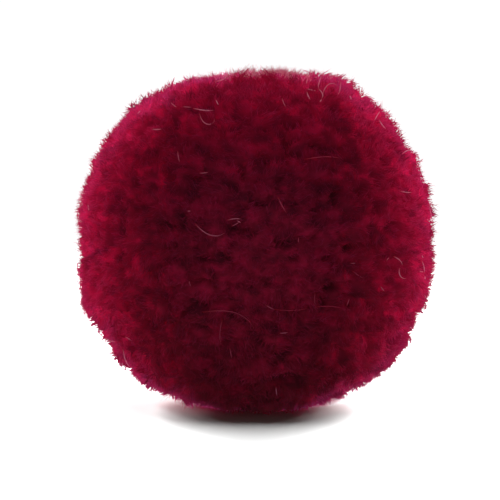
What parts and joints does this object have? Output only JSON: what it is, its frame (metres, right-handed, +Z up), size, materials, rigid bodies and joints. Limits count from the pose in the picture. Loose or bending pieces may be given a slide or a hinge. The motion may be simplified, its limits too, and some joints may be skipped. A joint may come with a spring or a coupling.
{
  "type": "plush pom-pom",
  "caption": "Round plush pom-pom for trimming: short locks of crimson yarn fan out from a tied middle and are trimmed to a ball that rests on a small flat spot.",
  "frame": {"origin": "middle of the flat spot on which the ball rests, below the middle of the ball", "axes": "+Z up; -Y towards the front that the picture shows; +X to the right as seen from that front"},
  "size_m": [0.0297, 0.0294, 0.0283],
  "materials": {
    "yarn": "soft cut-yarn pile, dark crimson with paler pink tips and a few pale stray hairs"
  },
  "bodies": {
    "root": {"pompom": "yarn"}
  },
  "joints": []
}
